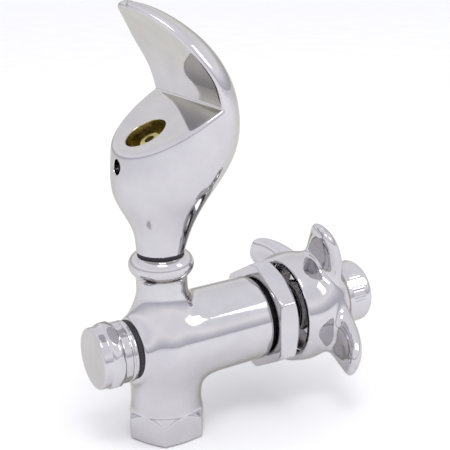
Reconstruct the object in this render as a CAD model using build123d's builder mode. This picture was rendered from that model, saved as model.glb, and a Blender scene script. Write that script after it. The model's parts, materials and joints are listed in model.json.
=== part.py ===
"""Self-closing drinking faucet with a mouth guard, as an assembly of separate parts.

The origin is the centre of the inlet's lower face. +Z is up, and +X runs along the valve
axis from the regulator cap to the handle. The model is symmetric about the XZ plane,
apart from the angle at which the handle rests. All sizes are in millimetres.
"""

import os
from math import cos, radians, sin, tan

from build123d import *

os.makedirs("parts", exist_ok=True)

# ---- driving dimensions ------------------------------------------------------------

# inlet and body
inlet_af = 22.2
inlet_hex_height = 8.6
inlet_bore_radius = 7.4
inlet_bore_depth = 11.0
strainer_radius = 5.2
column_radius = 10.8
axis_height = 30.3
barrel_radius = 13.6
barrel_end = 31.9
valve_bore_radius = 9.6
valve_bore_start = 5.0
boss_radius = 9.6
boss_face = -11.0
dome_depth = 10.4
collar_radius = 6.9
collar_end = -17.0
neck_radius = 7.8
bead_radius = 9.9
bead_height = 55.7
bead_half_height = 3.3
neck_top = 59.0
passage_radius = 3.0

# regulator
regulator_bore_radius = 3.6
cap_face = -23.8
cap_radius = 9.4
cap_flange_radius = 10.5
cap_flange_af = 19.8
cap_rear = -12.7

# valve
seat_lip = 5.4
washer_radius = 4.6
washer_thickness = 2.0
stem_radius = 2.4
valve_lift = 2.4
handle_turn = 90.0
pin_radius = 0.9
pin_position = 25.0
sleeve_radius = 5.2
shaft_radius = 4.2
running_gap = 0.05

# bonnet nut
nut_af = 32.0
nut_start = 32.8
nut_end = 40.4
nut_neck_radius = 11.6
nut_thread_radius = 9.55
nut_inner_end = 20.4

# handle
bell_rim = 42.8
bell_rim_radius = 17.25
bell_bulge_radius = 18.3
bell_wall = 1.7
hub_front = 64.0
hub_front_radius = 11.4
arm_turns = (0.0, 90.0, 270.0)
arm_lean = 21.0
arm_tip_radius = 31.8
button_radius = 10.6
button_face = 74.4

# head
head_bottom = 59.8
crease_x = 10.3
crease_height = 104.3
bowl_slope = 29.5
outlet_radius = 6.35
outlet_distance = 16.0
outlet_depth = 9.0
vent_height = 87.3
vent_radius = 2.2

# ---- shared planes, axes and helpers -------------------------------------------------

upright_axis = Axis((0, 0, 0), (0, 0, 1))
valve_axis = Axis((0, 0, axis_height), (1, 0, 0))
valve_section = Plane(origin=(0, 0, axis_height), x_dir=(1, 0, 0), z_dir=(0, -1, 0))
valve_across = Plane(origin=(0, 0, axis_height), x_dir=(0, 1, 0), z_dir=(1, 0, 0))


def outline(plane, *corners):
    """Closed flat face through the corners, given in the plane's own coordinates."""
    with BuildSketch(plane) as face:
        with BuildLine():
            Polyline(*corners, close=True)
        make_face()
    return face.sketch


def ring_outline(start, end, inner, outer):
    """Face that turns into a plain ring about the valve axis."""
    return outline(valve_section, (start, inner), (end, inner), (end, outer), (start, outer))


def disc(plane, radius):
    """Round face on a plane."""
    with BuildSketch(plane) as face:
        Circle(radius)
    return face.sketch


# ---- valve body ------------------------------------------------------------------------

corner_radius = inlet_af / 2 / cos(radians(30))

with BuildPart() as valve_body:
    # column, then the shoulder that narrows into the neck
    with BuildSketch(Plane.XZ):
        with BuildLine():
            Polyline((0, 4), (inlet_af / 2 - 0.1, 4), (column_radius, 14), (column_radius, axis_height))
            Spline(
                (column_radius, axis_height),
                (9.6, 41.0),
                (neck_radius, 48.0),
                tangents=[(0, 1), (0, 1)],
            )
            Polyline((neck_radius, 48.0), (neck_radius, neck_top), (0, neck_top), (0, 4))
        make_face()
    revolve(axis=upright_axis)
    # barrel with a domed left end
    with BuildSketch(valve_section):
        with BuildLine():
            EllipticalCenterArc((0, 0), dome_depth, barrel_radius, start_angle=90, arc_size=90)
            Polyline((-dome_depth, 0), (barrel_end, 0), (barrel_end, barrel_radius - 0.6))
            Line((barrel_end, barrel_radius - 0.6), (barrel_end - 0.6, barrel_radius))
            Line((barrel_end - 0.6, barrel_radius), (0, barrel_radius))
        make_face()
    revolve(axis=valve_axis)
    # boss that the cap closes on, and the collar that it screws over
    revolve(ring_outline(boss_face, 0, 0, boss_radius), axis=valve_axis)
    revolve(ring_outline(collar_end, boss_face, 0, collar_radius), axis=valve_axis)
    # bead round the top of the neck
    with BuildSketch(Plane.XZ):
        with Locations((bead_radius - bead_half_height, bead_height)):
            Circle(bead_half_height)
    revolve(axis=upright_axis)
    # inlet hexagon with its upper corners turned away
    with BuildSketch(Plane.XY):
        RegularPolygon(corner_radius, 6)
    extrude(amount=inlet_hex_height)
    corner_cut = outline(
        Plane.XZ,
        (inlet_af / 2, inlet_hex_height),
        (corner_radius + 0.4, inlet_hex_height - 2.5),
        (corner_radius + 0.4, inlet_hex_height + 1),
        (inlet_af / 2, inlet_hex_height + 1),
    )
    revolve(corner_cut, axis=upright_axis, mode=Mode.SUBTRACT)
    # inlet bore, with a step that holds the strainer
    extrude(disc(Plane.XY, inlet_bore_radius), amount=inlet_bore_depth, mode=Mode.SUBTRACT)
    extrude(
        disc(Plane.XY.offset(inlet_bore_depth), strainer_radius),
        amount=1.6,
        mode=Mode.SUBTRACT,
    )
    # slanted water way from the inlet to the valve chamber
    inlet_way = Plane(origin=(3.6, 0, inlet_bore_depth), z_dir=(0.5, 0, 1))
    extrude(disc(inlet_way, 2.2), amount=13.5, mode=Mode.SUBTRACT)
    # valve chamber, seat bore and middle chamber
    revolve(
        ring_outline(valve_bore_start, barrel_end, 0, valve_bore_radius),
        axis=valve_axis,
        mode=Mode.SUBTRACT,
    )
    revolve(ring_outline(1.6, valve_bore_start, 0, 5.6), axis=valve_axis, mode=Mode.SUBTRACT)
    revolve(
        ring_outline(collar_end, 1.6, 0, regulator_bore_radius),
        axis=valve_axis,
        mode=Mode.SUBTRACT,
    )
    # outlet way up to the head, and the socket for the nipple
    extrude(
        disc(Plane.XY.offset(axis_height), passage_radius),
        amount=neck_top - axis_height,
        mode=Mode.SUBTRACT,
    )
    extrude(
        disc(Plane.XY.offset(neck_top - 8), 4.95),
        amount=8,
        mode=Mode.SUBTRACT,
    )
valve_body.part.label = "valve_body"

# ---- inlet strainer ----------------------------------------------------------------------

with BuildPart() as inlet_strainer:
    with BuildSketch(Plane.XY.offset(inlet_bore_depth + 0.2)):
        Circle(strainer_radius - 0.05)
        Circle(0.8, mode=Mode.SUBTRACT)
        with PolarLocations(2.9, 6):
            Circle(0.8, mode=Mode.SUBTRACT)
    extrude(amount=1.2)
inlet_strainer.part.label = "inlet_strainer"

# ---- regulator ----------------------------------------------------------------------------

with BuildPart() as regulator_cap:
    # hollow cap with a crowned flange in the middle of its length
    with BuildSketch(valve_section):
        with BuildLine():
            Polyline(
                (cap_rear, 7.0),
                (cap_rear, cap_radius),
                (-14.0, cap_radius),
                (-14.2, cap_radius - 0.35),
                (-14.5, cap_radius - 0.35),
                (-14.7, cap_radius),
                (-17.2, cap_radius),
            )
            ThreePointArc((-17.2, cap_radius), (-19.1, cap_flange_radius), (-21.0, cap_radius))
            Polyline(
                (-21.0, cap_radius),
                (cap_face + 0.5, cap_radius),
                (cap_face, cap_radius - 0.5),
                (cap_face, 0),
                (cap_face + 2.0, 0),
                (cap_face + 2.0, 7.0),
                (cap_rear, 7.0),
            )
        make_face()
    revolve(axis=valve_axis)
    # six shallow flats on the flange
    with BuildSketch(valve_across.offset(-21.2)):
        Circle(cap_flange_radius + 2)
        RegularPolygon(cap_flange_af / 2, 6, major_radius=False, mode=Mode.SUBTRACT)
    extrude(amount=4.2, mode=Mode.SUBTRACT)
regulator_cap.part.label = "regulator_cap"

with BuildPart() as cap_gasket:
    revolve(ring_outline(cap_rear + 0.02, boss_face, collar_radius + 0.05, 9.1), axis=valve_axis)
    fillet(cap_gasket.edges().filter_by(GeomType.CIRCLE).sort_by(SortBy.RADIUS)[-2:], 0.5)
cap_gasket.part.label = "cap_gasket"

with BuildPart() as regulator_screw:
    # screw with a slotted head; its neck turns in the plug behind it
    with BuildSketch(valve_section):
        with BuildLine():
            Polyline(
                (-21.2, 0),
                (-21.2, 4.2),
                (-20.8, 4.6),
                (-19.4, 4.6),
                (-19.4, regulator_bore_radius - running_gap),
                (-9.4, regulator_bore_radius - running_gap),
                (-9.4, 2.7),
                (-8.2, 2.7),
                (-8.2, regulator_bore_radius - running_gap),
                (-7.0, regulator_bore_radius - running_gap),
                (-7.0, 0),
                close=True,
            )
        make_face()
    revolve(axis=valve_axis)
    with BuildSketch(valve_across.offset(-21.2)):
        Rectangle(1.2, 12)
    extrude(amount=1.2, mode=Mode.SUBTRACT)
    with BuildSketch(valve_across.offset(-7.0)):
        Circle(1.2)
    extrude(amount=-1.6, mode=Mode.SUBTRACT)
regulator_screw.part.label = "regulator_screw"

with BuildPart() as regulator_oring:
    with BuildSketch(valve_section):
        with Locations((-8.8, 3.2)):
            Rectangle(1.1, 0.76)
    revolve(axis=valve_axis)
regulator_oring.part.label = "regulator_oring"

with BuildPart() as regulator_plug:
    # tapered plug that throttles the way up to the head
    with BuildSketch(valve_section):
        with BuildLine():
            Polyline(
                (-8.4, 0),
                (-8.4, 1.15),
                (-6.6, 1.15),
                (-6.6, 3.3),
                (-5.0, 3.3),
                (-3.4, 1.6),
                (-3.4, 0),
                close=True,
            )
        make_face()
    revolve(axis=valve_axis)
regulator_plug.part.label = "regulator_plug"

# ---- seat -------------------------------------------------------------------------------

with BuildPart() as seat_gasket:
    revolve(ring_outline(1.6, 2.1, 3.8, 5.5), axis=valve_axis)
seat_gasket.part.label = "seat_gasket"

with BuildPart() as valve_seat:
    seat_face = outline(
        valve_section,
        (2.1, 3.0),
        (seat_lip, 3.0),
        (seat_lip, 3.6),
        (seat_lip - 0.8, 4.4),
        (seat_lip - 0.8, 5.5),
        (2.1, 5.5),
    )
    revolve(seat_face, axis=valve_axis)
valve_seat.part.label = "valve_seat"

# ---- sliding stem -------------------------------------------------------------------------

washer_end = seat_lip + washer_thickness
holder_end = washer_end + 2.4

with BuildPart() as seat_washer:
    revolve(ring_outline(seat_lip + 0.02, washer_end, 1.3, washer_radius), axis=valve_axis)
seat_washer.part.label = "seat_washer"

with BuildPart() as washer_holder:
    holder_face = outline(
        valve_section,
        (washer_end, 1.3),
        (holder_end, 1.3),
        (holder_end, 5.6),
        (washer_end - 1.3, 5.6),
        (washer_end - 1.3, washer_radius + 0.05),
        (washer_end, washer_radius + 0.05),
    )
    revolve(holder_face, axis=valve_axis)
washer_holder.part.label = "washer_holder"

with BuildPart() as washer_screw:
    screw_face = outline(
        valve_section,
        (seat_lip - 1.2, 0),
        (seat_lip - 1.2, 2.2),
        (seat_lip, 2.2),
        (seat_lip, 1.2),
        (holder_end + 3.0, 1.2),
        (holder_end + 3.0, 0),
    )
    revolve(screw_face, axis=valve_axis)
    with BuildSketch(valve_across.offset(seat_lip - 1.2)):
        Rectangle(0.7, 6)
    extrude(amount=0.6, mode=Mode.SUBTRACT)
washer_screw.part.label = "washer_screw"

stem_end = pin_position + 4.0

with BuildPart() as valve_stem:
    stem_face = outline(
        valve_section,
        (holder_end, 0),
        (holder_end, 3.4),
        (holder_end + 1.0, 3.4),
        (holder_end + 1.0, stem_radius),
        (stem_end - 0.4, stem_radius),
        (stem_end, stem_radius - 0.4),
        (stem_end, 0),
    )
    revolve(stem_face, axis=valve_axis)
    with BuildSketch(valve_across.offset(holder_end)):
        Circle(1.25)
    extrude(amount=3.2, mode=Mode.SUBTRACT)
    with BuildSketch(Plane.XY.offset(axis_height - stem_radius - 1)):
        with Locations((pin_position, 0)):
            Circle(pin_radius)
    extrude(amount=2 * stem_radius + 2, mode=Mode.SUBTRACT)
valve_stem.part.label = "valve_stem"

pin_reach = 8.4

with BuildPart() as cross_pin:
    with BuildSketch(Plane.XY.offset(axis_height - pin_reach)):
        with Locations((pin_position, 0)):
            Circle(pin_radius - 0.01)
    extrude(amount=2 * pin_reach)
    chamfer(cross_pin.edges().filter_by(GeomType.CIRCLE), 0.2)
cross_pin.part.label = "cross_pin"

# ---- return spring -------------------------------------------------------------------------

spring_wire = 0.9
spring_radius = 4.4
spring_start = holder_end + spring_wire / 2
spring_turns = 3.5
flange_start = nut_inner_end - 1.6
spring_washer_start = flange_start - 0.9
spring_length = spring_washer_start - holder_end - spring_wire

with BuildPart() as return_spring:
    with BuildLine() as coil_path:
        Helix(
            pitch=spring_length / spring_turns,
            height=spring_length,
            radius=spring_radius,
            center=(spring_start, 0, axis_height),
            direction=(1, 0, 0),
        )
    with BuildSketch(Plane(origin=coil_path.line @ 0, z_dir=coil_path.line % 0)):
        Circle(spring_wire / 2)
    sweep(path=coil_path.line, is_frenet=True)
return_spring.part.label = "return_spring"

with BuildPart() as spring_washer:
    revolve(
        ring_outline(spring_washer_start, flange_start - 0.05, stem_radius + 0.3, 6.2),
        axis=valve_axis,
    )
spring_washer.part.label = "spring_washer"

# ---- cam sleeve -----------------------------------------------------------------------------

sleeve_neck = stem_end + valve_lift + 1.2
square_start = 49.0
sleeve_end = 62.2
square_side = 6.0
slot_clearance = 0.12
slot_steps = 12

with BuildPart() as cam_sleeve:
    sleeve_face = outline(
        valve_section,
        (flange_start, stem_radius + running_gap),
        (sleeve_neck, stem_radius + running_gap),
        (sleeve_neck, 0),
        (sleeve_end, 0),
        (sleeve_end, shaft_radius),
        (37.6, shaft_radius),
        (37.6, 3.2),
        (36.2, 3.2),
        (36.2, shaft_radius),
        (sleeve_neck + 1, shaft_radius),
        (sleeve_neck + 1, sleeve_radius),
        (nut_inner_end - 0.1, sleeve_radius),
        (nut_inner_end - 0.1, 7.4),
        (flange_start, 7.4),
    )
    revolve(sleeve_face, axis=valve_axis)
    # helical slots that drive the cross pin, cut as a run of round holes
    for step in range(slot_steps + 1):
        share = step / slot_steps
        turn = -share * handle_turn
        hole_plane = Plane(
            origin=(pin_position + share * valve_lift, 0, axis_height),
            x_dir=(1, 0, 0),
            z_dir=(0, -sin(radians(turn)), cos(radians(turn))),
        )
        extrude(
            disc(hole_plane, pin_radius + slot_clearance),
            amount=sleeve_radius + 1,
            both=True,
            mode=Mode.SUBTRACT,
        )
    # square end for the handle, and the hole for its screw
    with BuildSketch(valve_across.offset(square_start)):
        Circle(shaft_radius + 1)
        Rectangle(square_side, square_side, mode=Mode.SUBTRACT)
    extrude(amount=sleeve_end - square_start, mode=Mode.SUBTRACT)
    with BuildSketch(valve_across.offset(sleeve_end)):
        Circle(1.8)
    extrude(amount=-10.2, mode=Mode.SUBTRACT)
cam_sleeve.part.label = "cam_sleeve"

with BuildPart() as sleeve_oring:
    with BuildSketch(valve_section):
        with Locations((36.9, 3.7)):
            Rectangle(1.2, 0.96)
    revolve(axis=valve_axis)
sleeve_oring.part.label = "sleeve_oring"

# ---- bonnet nut ------------------------------------------------------------------------------

nut_corner = nut_af / 2 / cos(radians(30))

with BuildPart() as bonnet_nut:
    with BuildSketch(valve_across.offset(nut_start)):
        RegularPolygon(nut_corner, 6, rotation=90)
    extrude(amount=nut_end - nut_start)
    rear_corner_cut = outline(
        valve_section,
        (nut_start - 1, nut_corner - 1.2),
        (nut_start, nut_corner - 1.2),
        (nut_start + 1.0, nut_corner + 0.4),
        (nut_start - 1, nut_corner + 0.4),
    )
    revolve(rear_corner_cut, axis=valve_axis, mode=Mode.SUBTRACT)
    front_corner_cut = outline(
        valve_section,
        (nut_end + 1, nut_af / 2 - 1.0),
        (nut_end, nut_af / 2 - 1.0),
        (nut_end - 2.4, nut_corner + 0.4),
        (nut_end + 1, nut_corner + 0.4),
    )
    revolve(front_corner_cut, axis=valve_axis, mode=Mode.SUBTRACT)
    # neck and thread inside the barrel, and the collar inside the handle's bell
    revolve(ring_outline(nut_inner_end, nut_start, 0, nut_thread_radius), axis=valve_axis)
    revolve(ring_outline(nut_end, 46.0, 0, 9.0), axis=valve_axis)
    # room for the sleeve, its shaft and the retaining ring
    revolve(
        ring_outline(nut_inner_end, sleeve_neck + 1.3, 0, sleeve_radius + running_gap),
        axis=valve_axis,
        mode=Mode.SUBTRACT,
    )
    revolve(
        ring_outline(sleeve_neck + 1.3, 46.0, 0, shaft_radius + running_gap),
        axis=valve_axis,
        mode=Mode.SUBTRACT,
    )
    revolve(ring_outline(42.6, 46.0, 0, 6.6), axis=valve_axis, mode=Mode.SUBTRACT)
    # straight slots that keep the cross pin from turning
    with BuildSketch(Plane.XY.offset(axis_height)):
        with Locations((pin_position + valve_lift / 2, 0)):
            SlotCenterToCenter(valve_lift + 0.4, 2 * (pin_radius + slot_clearance))
    extrude(amount=pin_reach + 0.4, both=True, mode=Mode.SUBTRACT)
bonnet_nut.part.label = "bonnet_nut"

with BuildPart() as bonnet_gasket:
    revolve(
        ring_outline(barrel_end, nut_start, nut_thread_radius + 0.02, nut_neck_radius),
        axis=valve_axis,
    )
bonnet_gasket.part.label = "bonnet_gasket"

with BuildPart() as gland_ring:
    revolve(ring_outline(42.6, 45.6, shaft_radius + running_gap, 6.55), axis=valve_axis)
gland_ring.part.label = "gland_ring"

with BuildPart() as thrust_washer:
    revolve(ring_outline(46.0, 46.9, shaft_radius + running_gap, 8.6), axis=valve_axis)
thrust_washer.part.label = "thrust_washer"

# ---- handle -------------------------------------------------------------------------------------

hub_back = 47.0


def arm_section(reach, along, thick, wide):
    """Oval slice of an arm that points up: reach above the axis, half-thickness, half-width."""
    with BuildSketch(Plane.XY.offset(axis_height + reach)) as slice_face:
        with Locations((along, 0)):
            Ellipse(thick, wide)
    return slice_face.sketch


with BuildPart() as canopy_handle:
    # hollow bell and domed front
    with BuildSketch(valve_section):
        with BuildLine():
            Polyline((bell_rim, bell_rim_radius - bell_wall), (bell_rim, bell_rim_radius))
            Spline(
                (bell_rim, bell_rim_radius),
                (49.0, bell_bulge_radius),
                (56.5, 16.4),
                (hub_front, hub_front_radius),
                tangents=[(1, 0.25), (1, -1)],
            )
            Polyline(
                (hub_front, hub_front_radius),
                (hub_front, 0),
                (hub_back, 0),
                (hub_back, 8.0),
                (50.5, 8.0),
                (50.5, bell_bulge_radius - 2.4),
                (bell_rim, bell_rim_radius - bell_wall),
            )
        make_face()
    revolve(axis=valve_axis)
    # one drooping petal arm, repeated at quarter turns on three sides
    for arm_turn in arm_turns:
        angle = arm_lean + arm_turn
        petal = loft(
            [
                arm_section(9.0, 56.8, 5.2, 8.0),
                arm_section(17.0, 56.0, 4.6, 8.5),
                arm_section(23.5, 54.4, 3.8, 7.8),
                arm_section(28.5, 52.4, 2.8, 6.0),
                arm_section(arm_tip_radius - 0.5, 51.0, 1.6, 3.0),
            ],
            mode=Mode.PRIVATE,
        )
        add(petal.rotate(valve_axis, angle))
    # socket for the square, seat for the screw, and the recess behind the button
    with BuildSketch(valve_across.offset(hub_back)):
        Rectangle(square_side + 0.1, square_side + 0.1)
    extrude(amount=sleeve_end + 0.2 - hub_back, mode=Mode.SUBTRACT)
    with BuildSketch(valve_across.offset(hub_back)):
        Circle(shaft_radius + 0.05)
    extrude(amount=square_start - hub_back + 0.05, mode=Mode.SUBTRACT)
    with BuildSketch(valve_across.offset(hub_front)):
        Circle(7.0)
    extrude(amount=-1.6, mode=Mode.SUBTRACT)
canopy_handle.part.label = "canopy_handle"

with BuildPart() as handle_screw:
    head_face = outline(
        valve_section,
        (52.4, 0),
        (52.4, 1.75),
        (sleeve_end + 0.3, 1.75),
        (sleeve_end + 0.3, 5.4),
        (sleeve_end + 1.8, 5.0),
        (sleeve_end + 2.4, 3.6),
        (sleeve_end + 2.4, 0),
    )
    revolve(head_face, axis=valve_axis)
    with BuildSketch(valve_across.offset(sleeve_end + 2.4)):
        Rectangle(9, 1.1)
        Rectangle(1.1, 9)
    extrude(amount=-1.1, mode=Mode.SUBTRACT)
handle_screw.part.label = "handle_screw"

knurl_count = 60
knurl_start = 66.0
knurl_end = 71.2

with BuildPart() as index_button:
    # hollow button with a rounded outer edge
    with BuildSketch(valve_section):
        with BuildLine():
            Polyline(
                (button_face, 0),
                (button_face - 2.4, 0),
                (button_face - 2.4, 6.4),
                (hub_front - 1.4, 6.4),
                (hub_front - 1.4, 6.9),
                (hub_front + 0.05, 6.9),
                (hub_front + 0.05, button_radius),
                (button_face - 2.2, button_radius),
            )
            RadiusArc((button_face - 2.2, button_radius), (button_face, button_radius - 2.2), -2.2)
            Line((button_face, button_radius - 2.2), (button_face, 0))
        make_face()
    revolve(axis=valve_axis)
    # fine grooves round the side
    with BuildSketch(valve_across.offset(knurl_start)):
        with PolarLocations(button_radius + 0.12, knurl_count):
            Rectangle(0.7, 0.5, rotation=45)
    extrude(amount=knurl_end - knurl_start, mode=Mode.SUBTRACT)
index_button.part.label = "index_button"

# ---- head ------------------------------------------------------------------------------------------

# slices of the casting: height, front, widest point, back, half-width
head_slices = (
    (head_bottom, -7.3, 0.0, 7.3, 7.3),
    (66.0, -7.9, 0.6, 9.6, 8.6),
    (72.0, -10.9, 1.2, 12.5, 11.3),
    (78.0, -13.2, 2.2, 16.2, 14.6),
    (84.0, -13.4, 3.8, 20.6, 17.1),
    (90.0, -12.7, 5.6, 23.5, 18.7),
    (97.0, -12.0, 8.0, 24.1, 19.8),
    (104.3, -11.4, 9.8, 22.5, 20.3),
    (111.0, -11.2, 8.8, 19.9, 20.3),
    (118.0, -11.6, 4.6, 16.0, 18.9),
    (125.0, -11.8, -1.2, 9.2, 15.6),
    (130.0, -10.8, -5.6, 2.0, 10.4),
    (133.2, -10.4, -7.8, -5.0, 4.6),
)


def head_slice(height, front, widest, back, half_width):
    """Egg-shaped slice of the head: two half ellipses that share their widest points."""
    with BuildSketch(Plane.XY.offset(height)) as slice_face:
        with BuildLine():
            EllipticalCenterArc((widest, 0), back - widest, half_width, start_angle=-90, arc_size=180)
            EllipticalCenterArc((widest, 0), widest - front, half_width, start_angle=90, arc_size=180)
        make_face()
    return slice_face.sketch


bowl_rise = tan(radians(bowl_slope))
bowl_normal = (-sin(radians(bowl_slope)), 0, cos(radians(bowl_slope)))
outlet_x = crease_x - outlet_distance * cos(radians(bowl_slope))
outlet_height = crease_height - outlet_distance * sin(radians(bowl_slope))
outlet_plane = Plane(origin=(outlet_x, 0, outlet_height), x_dir=(0, 1, 0), z_dir=bowl_normal)

with BuildPart() as bubbler_head:
    loft([head_slice(*station) for station in head_slices])
    # the space between the bowl face and the guard face
    with BuildSketch(Plane.XZ):
        with BuildLine():
            Spline(
                (crease_x, crease_height),
                (8.4, 111.0),
                (2.2, 120.3),
                (-5.4, 128.6),
                (-10.4, 131.4),
                (-16.0, 133.0),
            )
            Polyline(
                (-16.0, 133.0),
                (-40.0, 133.0),
                (-40.0, crease_height - (crease_x + 40.0) * bowl_rise),
                (crease_x, crease_height),
            )
        make_face()
    extrude(amount=30, both=True, mode=Mode.SUBTRACT)
    # outlet hole, water way, socket for the nipple, and the vent in the front
    extrude(disc(outlet_plane, outlet_radius), amount=-outlet_depth, mode=Mode.SUBTRACT)
    extrude(
        disc(Plane.XY.offset(head_bottom), passage_radius),
        amount=outlet_height - head_bottom - 6,
        mode=Mode.SUBTRACT,
    )
    extrude(disc(Plane.XY.offset(head_bottom), 4.95), amount=7.4, mode=Mode.SUBTRACT)
    vent_plane = Plane(origin=(-20, 0, vent_height), z_dir=(1, 0, 0))
    extrude(disc(vent_plane, vent_radius), amount=19, mode=Mode.SUBTRACT)
bubbler_head.part.label = "bubbler_head"

with BuildPart() as head_gasket:
    with BuildSketch(Plane.XY.offset(neck_top)):
        Circle(7.1)
        Circle(5.0, mode=Mode.SUBTRACT)
    extrude(amount=head_bottom - neck_top)
head_gasket.part.label = "head_gasket"

with BuildPart() as head_nipple:
    with BuildSketch(Plane.XY.offset(neck_top - 7.6)):
        Circle(4.9)
        Circle(passage_radius, mode=Mode.SUBTRACT)
    extrude(amount=14.8)
head_nipple.part.label = "head_nipple"

with BuildPart() as outlet_nozzle:
    # base pressed into the hole, and the narrow nozzle on it
    extrude(disc(outlet_plane.offset(-outlet_depth), outlet_radius - 0.05), amount=2.0)
    extrude(disc(outlet_plane.offset(2.0 - outlet_depth), 3.3), amount=4.2)
    fillet(outlet_nozzle.edges().sort_by(Axis(outlet_plane.origin, bowl_normal))[-1], 0.5)
    extrude(
        disc(outlet_plane.offset(-outlet_depth), 2.2),
        amount=4.4,
        mode=Mode.SUBTRACT,
    )
    extrude(
        disc(outlet_plane.offset(-outlet_depth), 1.5),
        amount=7.0,
        mode=Mode.SUBTRACT,
    )
outlet_nozzle.part.label = "outlet_nozzle"

with BuildPart() as flow_straightener:
    with BuildSketch(outlet_plane.offset(0.4 - outlet_depth)):
        Circle(2.15)
        with PolarLocations(1.2, 5):
            Circle(0.4, mode=Mode.SUBTRACT)
    extrude(amount=3.6)
flow_straightener.part.label = "flow_straightener"

# ---- write every piece -------------------------------------------------------------------------------

pieces = (
    valve_body,
    inlet_strainer,
    regulator_cap,
    cap_gasket,
    regulator_screw,
    regulator_oring,
    regulator_plug,
    seat_gasket,
    valve_seat,
    seat_washer,
    washer_holder,
    washer_screw,
    valve_stem,
    cross_pin,
    return_spring,
    spring_washer,
    cam_sleeve,
    sleeve_oring,
    bonnet_nut,
    bonnet_gasket,
    gland_ring,
    thrust_washer,
    canopy_handle,
    handle_screw,
    index_button,
    bubbler_head,
    head_gasket,
    head_nipple,
    outlet_nozzle,
    flow_straightener,
)
for piece in pieces:
    export_step(piece.part, f"parts/{piece.part.label}.step")
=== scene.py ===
"""Looks of the self-closing drinking faucet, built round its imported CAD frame.

The castings are closed surfaces of smooth distance fields, in the CAD's own millimetres,
and are turned into metres when their meshes are made.
"""

import json
from math import cos, pi, radians, sin, tan

import bpy
import numpy as np
import openvdb as vdb
from mathutils import Euler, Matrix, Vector


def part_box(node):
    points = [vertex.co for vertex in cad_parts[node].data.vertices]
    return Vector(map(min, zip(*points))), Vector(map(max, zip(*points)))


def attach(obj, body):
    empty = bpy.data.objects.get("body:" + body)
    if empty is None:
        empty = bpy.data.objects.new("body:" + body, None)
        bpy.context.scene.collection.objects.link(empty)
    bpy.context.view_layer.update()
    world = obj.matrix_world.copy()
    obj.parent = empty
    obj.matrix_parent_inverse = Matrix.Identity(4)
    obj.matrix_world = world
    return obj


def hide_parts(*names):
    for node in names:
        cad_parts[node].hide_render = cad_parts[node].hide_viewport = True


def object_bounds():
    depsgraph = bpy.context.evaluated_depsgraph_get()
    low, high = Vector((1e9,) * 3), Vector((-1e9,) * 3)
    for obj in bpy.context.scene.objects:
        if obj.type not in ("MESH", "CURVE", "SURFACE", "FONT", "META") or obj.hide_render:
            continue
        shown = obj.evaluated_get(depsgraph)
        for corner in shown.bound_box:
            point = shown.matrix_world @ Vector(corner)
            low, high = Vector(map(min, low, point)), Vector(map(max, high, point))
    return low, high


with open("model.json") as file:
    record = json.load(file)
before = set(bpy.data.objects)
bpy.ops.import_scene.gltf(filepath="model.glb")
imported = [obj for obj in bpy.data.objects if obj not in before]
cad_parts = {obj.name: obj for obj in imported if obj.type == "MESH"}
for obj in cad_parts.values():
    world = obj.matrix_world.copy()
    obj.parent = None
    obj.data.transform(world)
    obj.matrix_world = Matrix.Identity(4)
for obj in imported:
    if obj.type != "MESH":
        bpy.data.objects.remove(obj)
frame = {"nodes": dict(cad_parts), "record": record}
cad_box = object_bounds()

MILLIMETRE = 0.001


def box(node):
    """Lowest and highest corner of a CAD node, in millimetres."""
    low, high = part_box(node)
    return np.array(low) / MILLIMETRE, np.array(high) / MILLIMETRE


# ---- driving sizes, in millimetres ------------------------------------------------------

nut_low, nut_high = box("bonnet_nut")
cap_low, cap_high = box("regulator_cap")
handle_low, handle_high = box("canopy_handle")
button_low, button_high = box("index_button")
head_low, head_high = box("bubbler_head")
body_low, body_high = box("valve_body")
gasket_low, gasket_high = box("bonnet_gasket")

axis_height = (nut_low[2] + nut_high[2]) / 2
neck_top = body_high[2]

# inlet and column
inlet_af = 22.2
inlet_hex_height = 8.6
inlet_bore_radius = 7.4
inlet_bore_depth = 11.0
strainer_radius = 5.2
thread_pitch = 1.41
thread_depth = 0.55
column_radius = 10.8
neck_radius = 7.8
shoulder_top = 48.0
bead_radius = 9.9
bead_height = 55.7
bead_half_height = 3.3
passage_radius = 3.0
nipple_radius = 4.95
nipple_depth = 8.0

# barrel, boss and collar
barrel_radius = 13.6
barrel_end = gasket_low[0]
dome_depth = 10.4
boss_radius = 9.6
boss_face = -11.0
collar_radius = 6.9
collar_end = -17.0
valve_bore_radius = 9.6
valve_bore_start = 5.0
seat_bore_radius = 5.6
seat_bore_start = 1.6
regulator_bore_radius = 3.6
inlet_way_offset = 3.6
inlet_way_radius = 2.2
inlet_way_length = 13.5

# cap
cap_radius = 9.4
cap_flange_radius = 10.5
cap_flange_af = 19.8
cap_flange_start = -21.0
cap_flange_end = -17.2
cap_groove = -14.35
cap_groove_radius = 0.42
cap_hollow_radius = 7.0
cap_wall = 2.0

# nut
nut_start = gasket_high[0]
nut_end = 40.4
nut_corner = nut_high[2] - axis_height
nut_af = 2 * nut_corner * cos(radians(30))
nut_thread_radius = 9.55
nut_collar_radius = 9.0
nut_thread_pitch = 1.5
nut_thread_depth = 0.35
sleeve_room_radius = 5.25
sleeve_room_end = 33.9
shaft_room_start = 33.0
ring_room_radius = 6.6
ring_room_start = 42.6
pin_slot_middle = 26.2
pin_slot_half_length = 1.4
pin_slot_half_width = 1.02
pin_slot_reach = 8.8

# handle
bell_rim_radius = 17.25
bell_wall = 1.7
bell_depth = 50.5
hub_back = 47.0
hub_boss_radius = 8.0
hub_front = 64.0
arm_turns = (0.0, 90.0, 270.0)
arm_lean = 21.0
arm_reach = 31.8
scoop_radius = 6.6
scoop_offset = 9.4
scoop_middle = 22.0
square_side = 6.1
square_end = 60.8
shaft_radius = 4.25
shaft_room_end = 49.05
button_socket_radius = 7.0
button_socket_depth = 1.6

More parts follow.
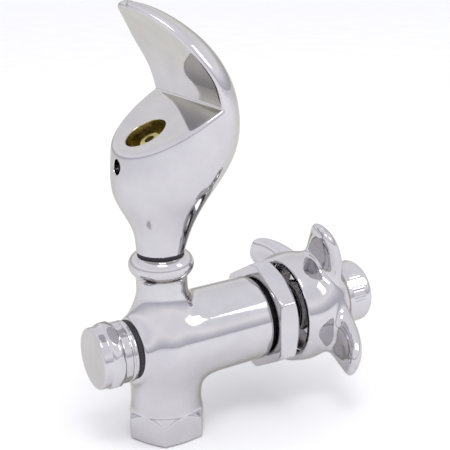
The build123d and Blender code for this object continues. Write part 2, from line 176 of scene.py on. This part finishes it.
# head
crease_x = 10.3
crease_height = 104.3
bowl_slope = radians(29.5)
outlet_radius = 6.35
outlet_distance = 16.0
outlet_depth = 9.0
vent_height = 87.3
vent_radius = 2.2
nipple_socket_depth = 7.4
dish_half_width = 19.0
bowl_length = 22.0
bowl_dish_depth = 0.5
guard_height = 28.0
guard_dish_depth = 0.9


# ---- distance fields ---------------------------------------------------------------------
# A field is negative inside its solid. Its arguments are arrays in millimetres.


def join(first, second, blend):
    """Union with a fillet."""
    share = np.maximum(blend - np.abs(first - second), 0) / blend
    return np.minimum(first, second) - share**3 * blend / 6


def meet(first, second, blend):
    """Intersection with a rounded edge."""
    return -join(-first, -second, blend)


def cut(solid, tool, blend):
    """Solid less tool, with a rounded edge."""
    return meet(solid, -tool, blend)


def spline(stations, values):
    """Natural cubic spline through values at rising stations."""
    stations = np.array(stations, float)
    values = np.array(values, float)
    gaps = np.diff(stations)
    slopes = np.diff(values) / gaps
    size = len(stations)
    system = np.eye(size)
    right = np.zeros(size)
    for row in range(1, size - 1):
        system[row, row - 1 : row + 2] = gaps[row - 1], 2 * (gaps[row - 1] + gaps[row]), gaps[row]
        right[row] = 6 * (slopes[row] - slopes[row - 1])
    bends = np.linalg.solve(system, right)

    def value(at):
        at = np.clip(at, stations[0], stations[-1])
        left = np.clip(np.searchsorted(stations, at) - 1, 0, size - 2)
        gap = gaps[left]
        back = stations[left + 1] - at
        ahead = at - stations[left]
        curve = (bends[left] * back**3 + bends[left + 1] * ahead**3) / (6 * gap)
        line_back = (values[left] / gap - bends[left] * gap / 6) * back
        line_ahead = (values[left + 1] / gap - bends[left + 1] * gap / 6) * ahead
        return curve + line_back + line_ahead

    return value


def hexagon(across, up, flats, turn=0.0):
    """Hexagonal prism without ends. A corner lies on the first axis when turn is 0."""
    distance = None
    for number in range(3):
        angle = radians(30 + 60 * number) + turn
        side = np.abs(across * cos(angle) + up * sin(angle)) - flats / 2
        distance = side if distance is None else meet(distance, side, 0.9)
    return distance


def slab(along, start, end):
    """Space between two planes."""
    return np.maximum(start - along, along - end)


def egg(across, along, front, back, width):
    """Distance to an egg-shaped slice: half ellipses of reach front and back share a width."""
    reach = np.where(across < 0, front, back)
    ratio = np.sqrt((across / reach) ** 2 + (along / width) ** 2) + 1e-9
    return np.sqrt(across**2 + along**2) * (1 - 1 / ratio)


def body_field(x, y, z):
    """Valve body."""
    radius = np.sqrt(x**2 + y**2)
    height = z - axis_height
    reach = np.sqrt(y**2 + height**2)

    # column, shoulder and neck
    climb = np.clip(height / (shoulder_top - axis_height), 0, 1) ** 1.7
    narrowing = climb * climb * (3 - 2 * climb)
    foot = 0.5 * np.clip((20 - z) / 14, 0, 1) ** 2
    column = radius - (column_radius + foot - (column_radius - neck_radius) * narrowing)
    bead_centre = bead_radius - bead_half_height
    bead = np.sqrt((radius - bead_centre) ** 2 + (z - bead_height) ** 2) - bead_half_height
    upright = join(column, bead, 2.6)
    upright = meet(upright, z - neck_top, 1.6)

    # barrel with its domed end, and the boss for the cap
    stretch = np.where(x < 0, dome_depth, barrel_radius)
    bent = np.minimum(x, 0)
    ratio = np.sqrt((bent / stretch) ** 2 + (reach / barrel_radius) ** 2) + 1e-6
    slope = np.sqrt((bent / stretch**2) ** 2 + (reach / barrel_radius**2) ** 2) + 1e-6
    barrel = ratio * (ratio - 1) / slope
    barrel = meet(barrel, x - barrel_end, 1.4)
    boss = meet(reach - boss_radius, slab(x, boss_face, 0), 1.6)
    across = join(barrel, boss, 5.0)
    fillet = 6.5 - 2.0 * np.tanh(height / 5)
    casting = join(upright, across, fillet)
    casting = join(casting, meet(reach - collar_radius, slab(x, collar_end, 0), 0.8), 0.4)

    # inlet hexagon with its upper corners turned away
    hexagonal = hexagon(x, y, inlet_af)
    corner_slope = radians(50)
    turned = (radius - inlet_af / 2) * sin(corner_slope) + (z - inlet_hex_height) * cos(corner_slope)
    hexagonal = meet(hexagonal, turned, 0.7)
    hexagonal = meet(hexagonal, slab(z, 0, inlet_hex_height), 0.8)
    casting = meet(join(casting, hexagonal, 1.6), -z, 0.8)

    # bores and water ways
    turns = z / thread_pitch - np.arctan2(y, x) / (2 * pi)
    groove = thread_depth * (1 - 2 * np.abs(turns - np.floor(turns) - 0.5))
    threads = groove * np.clip((inlet_bore_depth - 1 - z) / 1.5, 0, 1)
    casting = cut(casting, meet(radius - inlet_bore_radius - threads, z - inlet_bore_depth, 0.3), 0.5)
    step = slab(z, 0, inlet_bore_depth + 1.6)
    casting = cut(casting, np.maximum(radius - strainer_radius, step), 0.2)
    lean = 1 / np.sqrt(1.25)
    beside = np.sqrt(((x - inlet_way_offset) * 2 - (z - inlet_bore_depth)) ** 2 / 5 + y**2)
    along = ((z - inlet_bore_depth) + (x - inlet_way_offset) / 2) * lean
    inlet_way = np.maximum(beside - inlet_way_radius, slab(along, 0, inlet_way_length))
    casting = cut(casting, inlet_way, 0.2)
    chamber = np.maximum(reach - valve_bore_radius, slab(x, valve_bore_start, barrel_end + 1))
    casting = cut(casting, chamber, 0.4)
    seat_bore = np.maximum(reach - seat_bore_radius, slab(x, seat_bore_start, valve_bore_start))
    casting = cut(casting, seat_bore, 0.2)
    screw_bore = np.maximum(reach - regulator_bore_radius, slab(x, collar_end - 1, seat_bore_start))
    casting = cut(casting, screw_bore, 0.3)
    outlet_way = np.maximum(radius - passage_radius, slab(z, axis_height, neck_top))
    casting = cut(casting, outlet_way, 0.2)
    socket = np.maximum(radius - nipple_radius, slab(z, neck_top - nipple_depth, neck_top + 1))
    return cut(casting, socket, 0.2)


def cap_field(x, y, z):
    """Regulator cap: a hollow cap with a crowned flange that has six shallow flats."""
    height = z - axis_height
    reach = np.sqrt(y**2 + height**2)
    barrel = meet(reach - cap_radius, slab(x, cap_low[0], cap_high[0]), 1.1)
    middle = (cap_flange_start + cap_flange_end) / 2
    half = (cap_flange_end - cap_flange_start) / 2
    rise = cap_flange_radius - cap_radius
    crown_radius = (half**2 + rise**2) / (2 * rise)
    centre = cap_flange_radius - crown_radius
    crown = np.sqrt((reach - centre) ** 2 + (x - middle) ** 2) - crown_radius
    crown = np.maximum(crown, np.abs(x - middle) - half)
    crown = meet(crown, hexagon(y, height, cap_flange_af, radians(90)), 0.25)
    cap = join(barrel, crown, 0.5)
    groove = np.sqrt((reach - cap_radius - 0.05) ** 2 + (x - cap_groove) ** 2) - cap_groove_radius
    cap = cut(cap, groove, 0.2)
    hollow = np.maximum(reach - cap_hollow_radius, slab(x, cap_low[0] + cap_wall, cap_high[0] + 1))
    return cut(cap, hollow, 0.3)


def nut_field(x, y, z):
    """Bonnet nut: hexagon with turned corners, thread, collar and the sleeve's room."""
    height = z - axis_height
    reach = np.sqrt(y**2 + height**2)
    nut = hexagon(height, y, nut_af)
    front = (reach - nut_af / 2 + 1.0) * 0.55 + (x - nut_end) * 0.83
    rear = (reach - nut_corner + 1.2) * 0.55 + (nut_start - x) * 0.83
    nut = meet(meet(nut, front, 0.6), rear, 0.6)
    nut = meet(nut, slab(x, nut_start, nut_end), 0.5)
    turns = x / nut_thread_pitch - np.arctan2(y, height) / (2 * pi)
    ridge = nut_thread_depth * np.abs(2 * (turns - np.floor(turns)) - 1)
    thread = np.maximum(reach - nut_thread_radius + ridge, slab(x, nut_low[0], nut_start))
    nut = join(nut, thread, 0.2)
    nut = join(nut, meet(reach - nut_collar_radius, slab(x, nut_end - 1, nut_high[0]), 0.6), 0.5)
    sleeve_room = np.maximum(reach - sleeve_room_radius, slab(x, nut_low[0] - 1, sleeve_room_end))
    shaft_room = np.maximum(reach - shaft_radius, slab(x, shaft_room_start, nut_high[0] + 1))
    ring_room = np.maximum(reach - ring_room_radius, slab(x, ring_room_start, nut_high[0] + 1))
    beyond = np.maximum(np.abs(x - pin_slot_middle) - pin_slot_half_length, 0)
    pin_slot = np.sqrt(beyond**2 + y**2) - pin_slot_half_width
    pin_slot = np.maximum(pin_slot, np.abs(height) - pin_slot_reach)
    for tool in (sleeve_room, shaft_room, ring_room, pin_slot):
        nut = cut(nut, tool, 0.2)
    return nut


bell_outline = spline(
    (handle_low[0] - 6, handle_low[0], 49.0, 56.5, hub_front, hub_front + 4),
    (15.2, bell_rim_radius, 18.3, 16.6, 11.6, 5.6),
)
# an arm's slices, by reach from the axis: place along the axis, half-thickness, half-width
arm_reaches = (6.0, 12.0, 17.0, 22.0, 26.5, 30.5, 34.5)
arm_place = spline(arm_reaches, (57.2, 56.8, 56.2, 55.2, 53.8, 52.0, 50.0))
arm_thickness = spline(arm_reaches, (5.5, 5.1, 4.7, 4.1, 3.4, 2.5, 1.5))
arm_width = spline(arm_reaches, (7.4, 8.1, 8.3, 7.8, 6.7, 4.9, 2.2))


def handle_field(x, y, z):
    """Handle: hollow bell with three drooping petal arms, scooped on the bell's side."""
    height = z - axis_height
    reach = np.sqrt(y**2 + height**2)
    bell = (reach - bell_outline(x)) * 0.93
    handle = meet(bell, x - hub_front, 2.2)
    for arm_turn in arm_turns:
        angle = radians(arm_lean + arm_turn)
        up = height * cos(angle) - y * sin(angle)
        side = y * cos(angle) + height * sin(angle)
        width = arm_width(up)
        place = arm_place(up)
        petal = egg(x - place, side, arm_thickness(up), arm_thickness(up), width)
        scoop = np.sqrt(
            (x - place + scoop_offset) ** 2 + (side * 0.8) ** 2 + ((up - scoop_middle) * 0.5) ** 2
        )
        scoop = scoop - scoop_radius
        petal = cut(petal, scoop, 2.6)
        petal = meet(petal, up - arm_reach, 5.0)
        petal = np.maximum(petal, 4 - up)
        handle = join(handle, petal, 4.2)
    handle = meet(handle, handle_low[0] - x, 0.6)
    # inside of the bell, round the boss that holds the square
    inner = reach - bell_outline(x) + bell_wall
    hollow = meet(inner, x - bell_depth, 2.0)
    hollow = cut(hollow, np.maximum(reach - hub_boss_radius, hub_back - x), 0.8)
    handle = cut(handle, hollow, 0.5)
    square = np.maximum(np.abs(y), np.abs(height)) - square_side / 2
    handle = cut(handle, np.maximum(square, slab(x, hub_back - 1, square_end)), 0.2)
    handle = cut(handle, np.maximum(reach - shaft_radius, slab(x, hub_back - 1, shaft_room_end)), 0.2)
    socket = np.maximum(reach - button_socket_radius, hub_front - button_socket_depth - x)
    return cut(handle, socket, 0.3)


# the head's slices, by height: front, widest point, back, half-width
head_stations = (59.8, 66.0, 72.0, 78.0, 84.0, 90.0, 97.0, 104.3, 111.0, 118.0, 125.0, 130.0, 134.5)
head_front = spline(
    head_stations,
    (-7.3, -7.9, -10.6, -13.2, -13.4, -12.7, -12.0, -11.4, -11.2, -11.6, -11.8, -10.8, -9.2),
)
head_widest = spline(
    head_stations,
    (0.0, 0.6, 1.2, 2.2, 3.8, 5.6, 8.0, 9.8, 8.8, 4.6, -1.2, -5.6, -7.6),
)
head_back = spline(
    head_stations,
    (7.3, 9.6, 12.5, 16.2, 20.6, 23.5, 24.1, 22.5, 19.9, 16.0, 9.2, 2.0, -6.0),
)
head_width = spline(
    head_stations,
    (7.3, 8.6, 11.3, 14.6, 17.1, 18.7, 19.8, 20.3, 20.3, 18.9, 15.6, 10.4, 4.0),
)
guard_face = spline(
    (crease_height, 111.0, 120.3, 128.6, 131.4, 133.0),
    (crease_x, 8.4, 2.2, -5.4, -10.4, -16.0),
)


def head_field(x, y, z):
    """Bubbler head: egg-shaped casting with a space cut out between bowl and mouth guard."""
    widest = head_widest(z)
    head = egg(x - widest, y, widest - head_front(z), head_back(z) - widest, head_width(z)) * 0.86
    head = meet(head, z - head_high[2], 7.5)
    head = meet(head, head_low[2] - z, 0.5)
    # bowl face, which rises to the crease, and the guard's face above it
    from_crease = crease_x - x
    dish = 1 - (y / dish_half_width) ** 2
    bowl_share = from_crease * (bowl_length - from_crease) / (bowl_length / 2) ** 2
    bowl_dish = bowl_dish_depth * dish * np.clip(bowl_share, 0, 1)
    above_bowl = (z - crease_height + from_crease * tan(bowl_slope)) * cos(bowl_slope) + bowl_dish
    rise = z - crease_height
    guard_share = rise * (guard_height - rise) / (guard_height / 2) ** 2
    guard_dish = guard_dish_depth * dish * np.clip(guard_share, 0, 1)
    guard_lean = (guard_face(z + 0.1) - guard_face(z - 0.1)) / 0.2
    before_guard = (guard_face(z) + guard_dish - x) / np.sqrt(1 + guard_lean**2)
    space = meet(-above_bowl, -before_guard, 0.7)
    rim = 1.8 + 3.0 * np.clip((rise - 14) / 12, 0, 1)
    head = cut(head, space, rim)
    # outlet, water way, nipple and vent
    outlet_x = crease_x - outlet_distance * cos(bowl_slope)
    outlet_z = crease_height - outlet_distance * sin(bowl_slope)
    into = (outlet_z - z) * cos(bowl_slope) + (x - outlet_x) * sin(bowl_slope)
    beside = np.sqrt(((x - outlet_x) * cos(bowl_slope) + (z - outlet_z) * sin(bowl_slope)) ** 2 + y**2)
    head = cut(head, np.maximum(beside - outlet_radius, into - outlet_depth), 0.7)
    radius = np.sqrt(x**2 + y**2)
    head = cut(head, np.maximum(radius - passage_radius, z - outlet_z + 6), 0.2)
    head = cut(head, np.maximum(radius - nipple_radius, z - head_low[2] - nipple_socket_depth), 0.2)
    vent = np.sqrt(y**2 + (z - vent_height) ** 2)
    return cut(head, np.maximum(vent - vent_radius, x + 1), 0.5)


# ---- meshes ------------------------------------------------------------------------------


def slope_of(field, points):
    """Gradient of a field at points."""
    nudge = 0.02
    parts = []
    for axis in range(3):
        offset = np.zeros(3)
        offset[axis] = nudge
        ahead = field(*(points + offset).T)
        behind = field(*(points - offset).T)
        parts.append((ahead - behind) / (2 * nudge))
    return np.stack(parts, axis=1)


def add_mesh(name, points, faces, normals=None):
    """New smooth object from points in millimetres."""
    mesh = bpy.data.meshes.new(name)
    mesh.from_pydata((points * MILLIMETRE).tolist(), [], faces)
    mesh.validate()
    mesh.polygons.foreach_set("use_smooth", [True] * len(mesh.polygons))
    if normals is not None and len(mesh.vertices) == len(normals):
        mesh.normals_split_custom_set_from_vertices(normals.tolist())
    piece = bpy.data.objects.new(name, mesh)
    bpy.context.scene.collection.objects.link(piece)
    return piece


def cast(name, field, low, high, step):
    """Mesh of a field's surface inside a box, with its points drawn onto the surface."""
    margin = 3 * step
    axes = [np.arange(low[axis] - margin, high[axis] + margin, step) for axis in range(3)]
    x, y, z = np.meshgrid(*axes, indexing="ij", sparse=True)
    values = np.clip(field(x, y, z), -margin, margin).astype(np.float32)
    grid = vdb.FloatGrid(margin)
    grid.copyFromArray(np.ascontiguousarray(values))
    points, triangles, quads = grid.convertToPolygons(isovalue=0.0, adaptivity=0.0)
    points = points * step + np.array([axis[0] for axis in axes])
    for _ in range(4):
        slope = slope_of(field, points)
        length = np.maximum(np.sum(slope**2, axis=1), 0.05)
        move = slope * (field(*points.T) / length)[:, None]
        size = np.maximum(np.linalg.norm(move, axis=1), 1e-9)
        points = points - move * np.minimum(1, 0.4 * step / size)[:, None]
    points = np.clip(points, low, high)
    slope = slope_of(field, points)
    normals = slope / np.maximum(np.linalg.norm(slope, axis=1), 1e-9)[:, None]
    faces = triangles.tolist() + quads.tolist()
    first = points[quads[0]]
    facing = np.cross(first[1] - first[0], first[2] - first[0]) @ normals[quads[0][0]]
    if facing < 0:
        faces = [face[::-1] for face in faces]
    return add_mesh(name, points, faces, normals)


def lathe(name, profile, count, relief):
    """Closed ring of profile points (along, radius) about the valve axis, with a relief."""
    profile = np.array(profile)
    angles = np.arange(count) * 2 * pi / count
    along = np.repeat(profile[:, :1], count, axis=1)
    radius = profile[:, 1:] - relief(along, angles[None, :])
    rings = np.stack([along, radius * np.sin(angles), axis_height + radius * np.cos(angles)], axis=2)
    points = rings.reshape(-1, 3)
    faces = []
    for ring in range(len(profile) - 1):
        for number in range(count):
            after = (number + 1) % count
            corners = (ring * count + number, ring * count + after)
            faces.append((corners[1], corners[0], corners[0] + count, corners[1] + count))
    faces.append(tuple(range(count)))
    faces.append(tuple(reversed(range((len(profile) - 1) * count, len(profile) * count))))
    return add_mesh(name, points, faces)


# ---- materials -------------------------------------------------------------------------------


def new_material(name, metallic, roughness, color):
    """Principled material, with its node tree, its shader and the object coordinates for its textures."""
    material = bpy.data.materials.new(name)
    material.use_nodes = True
    tree = material.node_tree
    shader = tree.nodes["Principled BSDF"]
    shader.inputs["Metallic"].default_value = metallic
    shader.inputs["Roughness"].default_value = roughness
    shader.inputs["Base Color"].default_value = (*color, 1)
    place = tree.nodes.new("ShaderNodeTexCoord").outputs["Object"]
    return material, tree, shader, place


def noise(tree, place, scale, detail=3.0, stretch=None):
    """Noise value over the object, in cycles per metre, drawn out along some axes."""
    if stretch is not None:
        mapping = tree.nodes.new("ShaderNodeMapping")
        mapping.inputs["Scale"].default_value = stretch
        tree.links.new(place, mapping.inputs["Vector"])
        place = mapping.outputs["Vector"]
    texture = tree.nodes.new("ShaderNodeTexNoise")
    texture.inputs["Scale"].default_value = scale
    texture.inputs["Detail"].default_value = detail
    tree.links.new(place, texture.inputs["Vector"])
    return texture.outputs["Fac"]


def ramp(tree, value, *stops):
    """Colour ramp with (position, colour) stops."""
    node = tree.nodes.new("ShaderNodeValToRGB")
    elements = node.color_ramp.elements
    elements[0].position, elements[0].color = stops[0][0], (*stops[0][1], 1)
    elements[1].position, elements[1].color = stops[-1][0], (*stops[-1][1], 1)
    for position, color in stops[1:-1]:
        elements.new(position).color = (*color, 1)
    tree.links.new(value, node.inputs["Fac"])
    return node.outputs["Color"]


def spread(tree, value, low, high):
    """Value from 0..1 spread over low..high."""
    node = tree.nodes.new("ShaderNodeMapRange")
    node.inputs["To Min"].default_value = low
    node.inputs["To Max"].default_value = high
    tree.links.new(value, node.inputs["Value"])
    return node.outputs["Result"]


def bump(tree, shader, value, height, before=None):
    """Bump of a given height in metres."""
    node = tree.nodes.new("ShaderNodeBump")
    node.inputs["Strength"].default_value = 1.0
    node.inputs["Distance"].default_value = height
    tree.links.new(value, node.inputs["Height"])
    if before is not None:
        tree.links.new(before, node.inputs["Normal"])
    tree.links.new(node.outputs["Normal"], shader.inputs["Normal"])
    return node.outputs["Normal"]


def chrome_material():
    """Polished chrome plate: faint haze, a slightly wavy casting under it, fine hairlines."""
    material, tree, shader, place = new_material("polished_chrome", 1.0, 0.07, (0.58, 0.57, 0.60))
    shader.inputs["Specular Tint"].default_value = (0.75, 0.74, 0.66, 1)
    haze = noise(tree, place, 140, 4.0)
    color = ramp(tree, haze, (0.3, (0.555, 0.54, 0.57)), (0.7, (0.61, 0.595, 0.62)))
    tree.links.new(color, shader.inputs["Base Color"])
    hairlines = noise(tree, place, 900, 2.0, (1.0, 0.15, 1.0))
    mixed = tree.nodes.new("ShaderNodeMath")
    mixed.operation = "MULTIPLY"
    tree.links.new(haze, mixed.inputs[0])
    tree.links.new(hairlines, mixed.inputs[1])
    tree.links.new(spread(tree, mixed.outputs["Value"], 0.04, 0.17), shader.inputs["Roughness"])
    wave = bump(tree, shader, noise(tree, place, 70, 1.0), 0.00008)
    bump(tree, shader, noise(tree, place, 2600, 2.0), 0.0000004, wave)
    return material


def brass_material():
    """Machined brass: turning marks, with darker olive tarnish in patches."""
    material, tree, shader, place = new_material("machined_brass", 1.0, 0.28, (0.55, 0.48, 0.22))
    patches = noise(tree, place, 260, 4.0)
    color = ramp(
        tree, patches, (0.3, (0.30, 0.25, 0.10)), (0.5, (0.52, 0.44, 0.19)), (0.72, (0.78, 0.68, 0.36))
    )
    tree.links.new(color, shader.inputs["Base Color"])
    marks = noise(tree, place, 700, 2.0, (1.0, 0.2, 4.0))
    tree.links.new(spread(tree, marks, 0.18, 0.42), shader.inputs["Roughness"])
    bump(tree, shader, marks, 0.00003)
    return material


def steel_material():
    """Stainless steel with fine drawn lines."""
    material, tree, shader, place = new_material("stainless_steel", 1.0, 0.3, (0.55, 0.55, 0.56))
    lines = noise(tree, place, 1100, 2.0, (0.2, 1.0, 1.0))
    tree.links.new(
        ramp(tree, lines, (0.3, (0.46, 0.46, 0.47)), (0.7, (0.62, 0.62, 0.63))), shader.inputs["Base Color"]
    )
    tree.links.new(spread(tree, lines, 0.22, 0.4), shader.inputs["Roughness"])
    bump(tree, shader, lines, 0.00002)
    return material


def rubber_material():
    """Black rubber with a fine moulded grain."""
    material, tree, shader, place = new_material("black_rubber", 0.0, 0.6, (0.015, 0.015, 0.018))
    grain = noise(tree, place, 1800, 3.0)
    tree.links.new(
        ramp(tree, grain, (0.3, (0.008, 0.008, 0.011)), (0.7, (0.024, 0.023, 0.028))),
        shader.inputs["Base Color"],
    )
    tree.links.new(spread(tree, grain, 0.5, 0.75), shader.inputs["Roughness"])
    bump(tree, shader, grain, 0.00003)
    return material


def nylon_material():
    """Natural nylon, slightly waxy."""
    material, tree, shader, place = new_material("natural_nylon", 0.0, 0.45, (0.76, 0.73, 0.65))
    shader.inputs["Subsurface Weight"].default_value = 0.1
    shader.inputs["Subsurface Radius"].default_value = (0.002, 0.0015, 0.001)
    mottle = noise(tree, place, 500, 3.0)
    tree.links.new(
        ramp(tree, mottle, (0.3, (0.68, 0.65, 0.57)), (0.7, (0.82, 0.79, 0.71))), shader.inputs["Base Color"]
    )
    tree.links.new(spread(tree, mottle, 0.35, 0.55), shader.inputs["Roughness"])
    bump(tree, shader, mottle, 0.00002)
    return material


def floor_material():
    """Matt pale sheet with a very faint mottle."""
    material, tree, shader, place = new_material("pale_floor", 0.0, 0.9, (0.9, 0.9, 0.9))
    mottle = noise(tree, place, 30, 2.0)
    tree.links.new(
        ramp(tree, mottle, (0.3, (0.90, 0.90, 0.905)), (0.7, (0.92, 0.92, 0.92))), shader.inputs["Base Color"]
    )
    return material


materials = {
    "chrome": chrome_material(),
    "brass": brass_material(),
    "steel": steel_material(),
    "rubber": rubber_material(),
    "nylon": nylon_material(),
}


# ---- pieces ------------------------------------------------------------------------------------

node_slots = {part["node"]: part["material_slot"] for part in frame["record"]["subparts"]}


def stand_for(piece, node, body, *bores):
    """Piece in place of a CAD node, in its slot's material, with bare metal inside its bores."""
    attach(piece, body)
    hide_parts(node)
    piece.data.materials.append(materials[node_slots[node]])
    if bores:
        piece.data.materials.append(materials["brass"])
        count = len(piece.data.polygons)
        centres = np.zeros(3 * count)
        piece.data.polygons.foreach_get("center", centres)
        x, y, z = centres.reshape(-1, 3).T / MILLIMETRE
        bare = np.zeros(count, bool)
        for bore in bores:
            bare |= bore(x, y, z) < 0
        piece.data.polygons.foreach_set("material_index", bare.astype(int))


def inlet_inside(x, y, z):
    """Inside of the inlet bore."""
    return np.maximum(np.sqrt(x**2 + y**2) - inlet_bore_radius - thread_depth - 0.05, slab(z, 0.3, 26))


def valve_inside(x, y, z):
    """Inside of the valve chamber and the bores beside it."""
    reach = np.sqrt(y**2 + (z - axis_height) ** 2) - 0.1
    chamber = np.maximum(reach - valve_bore_radius, slab(x, valve_bore_start - 0.2, barrel_end - 0.3))
    seat_bore = np.maximum(reach - seat_bore_radius, slab(x, seat_bore_start - 0.2, valve_bore_start))
    screw_bore = np.maximum(reach - regulator_bore_radius, slab(x, collar_end + 0.3, seat_bore_start))
    return np.minimum(chamber, np.minimum(seat_bore, screw_bore))


def neck_inside(x, y, z):
    """Inside of the neck."""
    return np.maximum(np.sqrt(x**2 + y**2) - nipple_radius - 0.1, slab(z, axis_height, neck_top - 0.2))


def outlet_inside(x, y, z):
    """Inside of the outlet hole in the bowl."""
    outlet_x = crease_x - outlet_distance * cos(bowl_slope)
    outlet_z = crease_height - outlet_distance * sin(bowl_slope)
    into = (outlet_z - z) * cos(bowl_slope) + (x - outlet_x) * sin(bowl_slope)
    beside = np.sqrt(((x - outlet_x) * cos(bowl_slope) + (z - outlet_z) * sin(bowl_slope)) ** 2 + y**2)
    return np.maximum(beside - outlet_radius - 0.1, slab(into, 0.5, outlet_depth + 0.2))


def button_relief(along, angle):
    """Fine knurl round the middle of the button's side."""
    knurl_start = button_low[0] + 3.4
    knurl_end = button_high[0] - 3.3
    band = np.clip((along - knurl_start) / 0.4, 0, 1) * np.clip((knurl_end - along) / 0.4, 0, 1)
    return 0.07 * band * (0.5 + 0.5 * np.cos(60 * angle)) ** 2


def button_profile():
    """Closed half-section of the hollow button."""
    radius = (button_high[2] - button_low[2]) / 2
    face = button_high[0]
    round_edge = 2.2
    profile = [(face - 2.4, 0.05), (face - 2.4, 6.3), (face - 2.6, 6.4), (hub_front - 1.3, 6.4)]
    profile += [(hub_front - 1.4, 6.5), (hub_front - 1.4, 6.85), (hub_front - 1.2, 6.9)]
    profile += [(hub_front + 0.05, 6.9), (hub_front + 0.05, radius - 0.3), (hub_front + 0.3, radius - 0.05)]
    profile += [(along, radius) for along in np.linspace(hub_front + 0.9, face - round_edge - 0.3, 30)]
    for angle in np.linspace(0, pi / 2, 12):
        rounded = round_edge * (1 - cos(angle)), round_edge * sin(angle)
        profile.append((face - round_edge + rounded[1], radius - rounded[0]))
    dome = 0.25
    for share in np.linspace(0.1, 0.99, 12):
        profile.append((face - dome * share * (1 - share), (radius - round_edge) * (1 - share)))
    return profile


# mesh steps, in millimetres
large_casting_step = 0.35
head_step = 0.3
nut_step = 0.28
cap_step = 0.22

body = cast("valve_body_casting", body_field, body_low, body_high, large_casting_step)
stand_for(body, "valve_body", "root", inlet_inside, valve_inside, neck_inside)
cap = cast("regulator_cap_turned", cap_field, cap_low, cap_high, cap_step)
stand_for(cap, "regulator_cap", "root")
nut = cast("bonnet_nut_turned", nut_field, nut_low, nut_high, nut_step)
stand_for(nut, "bonnet_nut", "root")
handle = cast("canopy_handle_casting", handle_field, handle_low, handle_high, large_casting_step)
stand_for(handle, "canopy_handle", "handle")
head = cast("bubbler_head_casting", head_field, head_low, head_high, head_step)
stand_for(head, "bubbler_head", "root", outlet_inside)
button = lathe("index_button_turned", button_profile(), 480, button_relief)
stand_for(button, "index_button", "handle")

replaced = ("valve_body", "regulator_cap", "bonnet_nut", "canopy_handle", "bubbler_head", "index_button")
for node, slot in node_slots.items():
    if node not in replaced:
        shown = frame["nodes"][node]
        if not shown.material_slots:
            shown.data.materials.append(materials[slot])
        for place in shown.material_slots:
            place.material = materials[slot]
        split = shown.modifiers.new("crisp_edges", "EDGE_SPLIT")
        split.split_angle = radians(35)
        shown.data.polygons.foreach_set("use_smooth", [True] * len(shown.data.polygons))


# ---- floor, light and camera ---------------------------------------------------------------------


def add_floor():
    """Wide pale floor at the height of the inlet's lower face."""
    side = 40.0
    mesh = bpy.data.meshes.new("floor")
    corners = [(-side, -side, 0), (side, -side, 0), (side, side, 0), (-side, side, 0)]
    mesh.from_pydata(corners, [], [(0, 1, 2, 3)])
    mesh.materials.append(floor_material())
    floor = bpy.data.objects.new("floor", mesh)
    bpy.context.scene.collection.objects.link(floor)
    floor.location.z = cad_box[0][2] - 0.0002


def add_soft_light(name, toward, distance, size, power, color):
    """Square soft light in a direction from the object's middle, aimed at it."""
    middle = (cad_box[0] + cad_box[1]) / 2
    data = bpy.data.lights.new(name, "AREA")
    data.shape = "RECTANGLE"
    data.size, data.size_y = size
    data.energy = power
    data.color = color
    light = bpy.data.objects.new(name, data)
    light.location = middle + Vector(toward).normalized() * distance
    light.rotation_euler = Vector(toward).to_track_quat("Z", "Y").to_euler()
    bpy.context.scene.collection.objects.link(light)


def add_surroundings():
    """Pale room whose brightness changes smoothly with height, a little greyer low down."""
    world = bpy.data.worlds.new("pale_room")
    bpy.context.scene.world = world
    world.use_nodes = True
    tree = world.node_tree
    background = tree.nodes["Background"]
    direction = tree.nodes.new("ShaderNodeTexCoord").outputs["Generated"]
    split = tree.nodes.new("ShaderNodeSeparateXYZ")
    tree.links.new(direction, split.inputs["Vector"])
    height = tree.nodes.new("ShaderNodeMapRange")
    height.inputs["From Min"].default_value = -1.0
    height.inputs["From Max"].default_value = 1.0
    tree.links.new(split.outputs["Z"], height.inputs["Value"])
    color = ramp(
        tree,
        height.outputs["Result"],
        (0.50, (0.52, 0.52, 0.58)),
        (0.56, (0.62, 0.62, 0.67)),
        (0.66, (0.96, 0.96, 0.97)),
        (0.80, (0.82, 0.82, 0.86)),
        (1.00, (0.90, 0.90, 0.93)),
    )
    tree.links.new(color, background.inputs["Color"])
    background.inputs["Strength"].default_value = 1.2


camera_place = (-0.1181, -0.2346, 0.1560)
camera_lens = 74.92
camera_yaw = radians(-31.1)
camera_pitch = radians(90 - 18.39)
camera_roll = radians(-0.82)


def add_camera():
    """Camera at the front left, a little above, with a long lens."""
    data = bpy.data.cameras.new("camera")
    data.lens = camera_lens
    data.sensor_width = 36.0
    data.shift_x = -0.0056
    data.shift_y = -0.0111
    data.clip_start = 0.01
    camera = bpy.data.objects.new("camera", data)
    camera.location = camera_place
    turn = Euler((camera_pitch, 0, camera_yaw)).to_matrix() @ Euler((0, 0, camera_roll)).to_matrix()
    camera.rotation_euler = turn.to_euler()
    bpy.context.scene.collection.objects.link(camera)
    bpy.context.scene.camera = camera


add_floor()
add_surroundings()
add_soft_light("high_window", (-0.2, -0.5, 1.2), 0.9, (0.35, 0.25), 1.6, (1, 1, 1))
add_soft_light("side_window", (1.0, -0.9, 0.9), 0.9, (0.22, 0.3), 1.0, (1, 1, 1))
add_camera()
bpy.context.scene.view_settings.view_transform = "Standard"
